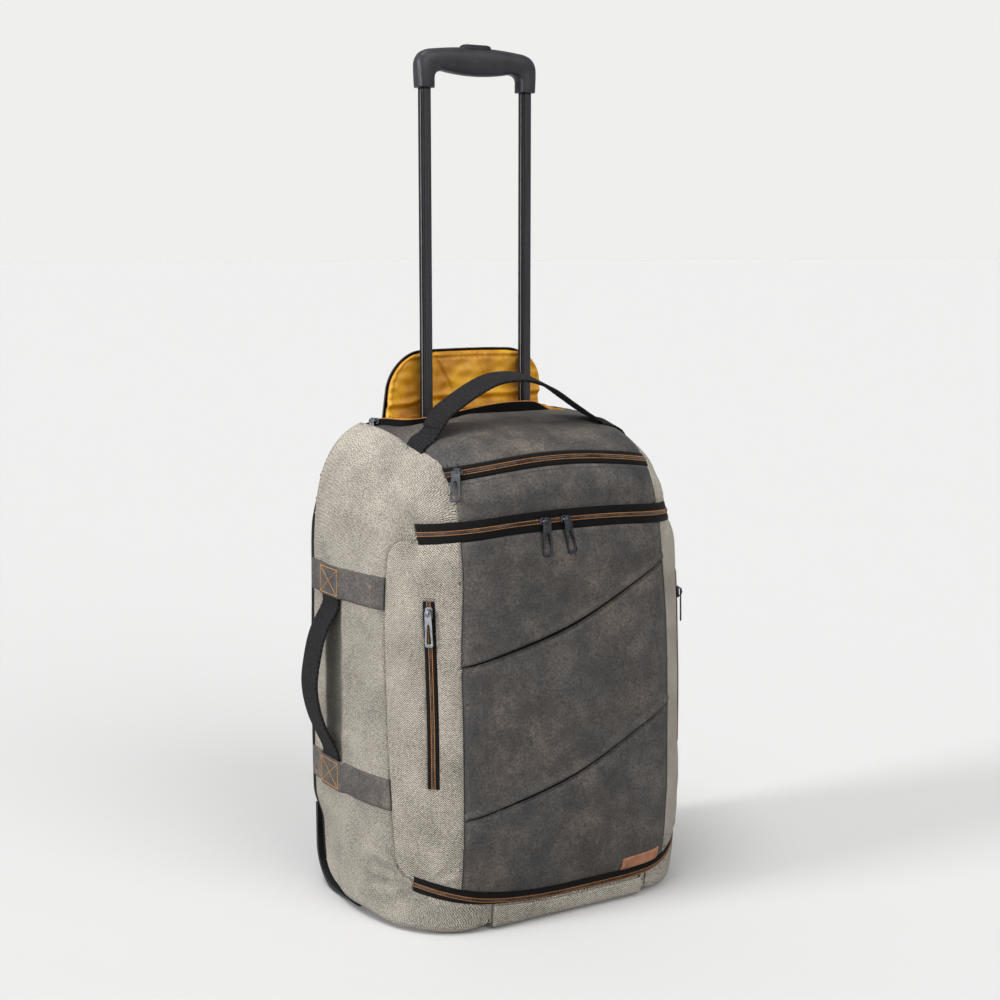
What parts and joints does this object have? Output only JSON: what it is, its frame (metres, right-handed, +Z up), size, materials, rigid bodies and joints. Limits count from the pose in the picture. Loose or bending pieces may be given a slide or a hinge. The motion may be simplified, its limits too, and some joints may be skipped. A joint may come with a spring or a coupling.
{
  "type": "cabin trolley backpack",
  "caption": "Soft wheeled cabin bag in grey cloth and dark leather-look, with a telescopic handle, zipped pockets, webbing handles and a yellow-lined handle flap.",
  "frame": {"origin": "middle of the base of the bounding box, on the floor", "axes": "+Z up along the handle, -Y out of the front face, +X to the right seen from the front"},
  "size_m": [0.4468, 0.2508, 0.964],
  "materials": {
    "weave": "grey heather twill, matt",
    "leather": "dark brushed leather-look, soft sheen",
    "black_cloth": "plain black cloth and zip tape",
    "lining": "mustard yellow satin lining",
    "webbing": "dark ribbed webbing",
    "copper_teeth": "copper coil zip",
    "gun_metal": "gunmetal grey cast metal",
    "plastic": "charcoal moulded plastic",
    "black_metal": "black anodised aluminium tube",
    "rubber": "dark grey rubber tread",
    "steel": "plain steel pin",
    "tan_leather": "bare tan leather tab"
  },
  "bodies": {
    "bag": {"side_panel_left": "weave", "side_panel_right": "weave", "base_panel": "weave", "door_margin_left": "weave", "door_margin_right": "weave", "front_foot": "weave", "top_panel": "leather", "top_pocket_panel": "leather", "front_panel_upper": "leather", "front_panel_middle": "leather", "front_panel_lower": "leather", "side_band_upper": "leather", "side_band_lower": "leather", "back_panel": "black_cloth", "main_zip_tape": "black_cloth", "top_zip_tape": "black_cloth", "side_zip_tape_left": "black_cloth", "side_zip_tape_right": "black_cloth", "base_zip_tape": "black_cloth", "pocket_zip_tape": "black_cloth", "flap_outer": "black_cloth", "flap_zip_tape": "black_cloth", "back_piping_left": "black_cloth", "back_piping_right": "black_cloth", "handle_pocket_lining": "lining", "flap_lining": "lining", "top_handle": "webbing", "side_handle": "webbing", "main_zip_teeth": "copper_teeth", "top_zip_teeth": "copper_teeth", "side_zip_teeth_left": "copper_teeth", "side_zip_teeth_right": "copper_teeth", "base_zip_teeth": "copper_teeth", "pocket_zip_teeth": "copper_teeth", "main_zip_pull_left": "gun_metal", "main_zip_pull_right": "gun_metal", "top_zip_pull": "gun_metal", "side_zip_pull_left": "gun_metal", "side_zip_pull_right": "gun_metal", "tube_bracket_upper": "plastic", "tube_bracket_lower": "plastic", "wheel_guard_left": "plastic", "wheel_guard_right": "plastic", "guide_tube_left": "black_metal", "guide_tube_right": "black_metal", "axle_left": "steel", "axle_right": "steel", "patch": "tan_leather"},
    "handle": {"pole_left": "black_metal", "pole_right": "black_metal", "grip": "plastic"},
    "button": {"grip_button": "plastic"},
    "wheel_left": {"tyre_left": "rubber", "hub_left": "plastic"},
    "wheel_right": {"tyre_right": "rubber", "hub_right": "plastic"}
  },
  "joints": [
    {"name": "handle_slide", "type": "slide", "parent": "bag", "child": "handle", "axis": [0, 0, 1], "range_m": [-0.4, 0]},
    {"name": "button_press", "type": "slide", "parent": "handle", "child": "button", "axis": [0, 0, 1], "range_m": [-0.003, 0], "stiffness_N_per_m": 400, "springref_m": 0.002},
    {"name": "wheel_left_spin", "type": "hinge", "parent": "bag", "child": "wheel_left", "pos_m": [-0.1543, 0.0929, 0.03], "axis": [1, 0, 0], "continuous": true},
    {"name": "wheel_right_spin", "type": "hinge", "parent": "bag", "child": "wheel_right", "pos_m": [0.1837, 0.0929, 0.03], "axis": [1, 0, 0], "continuous": true}
  ]
}
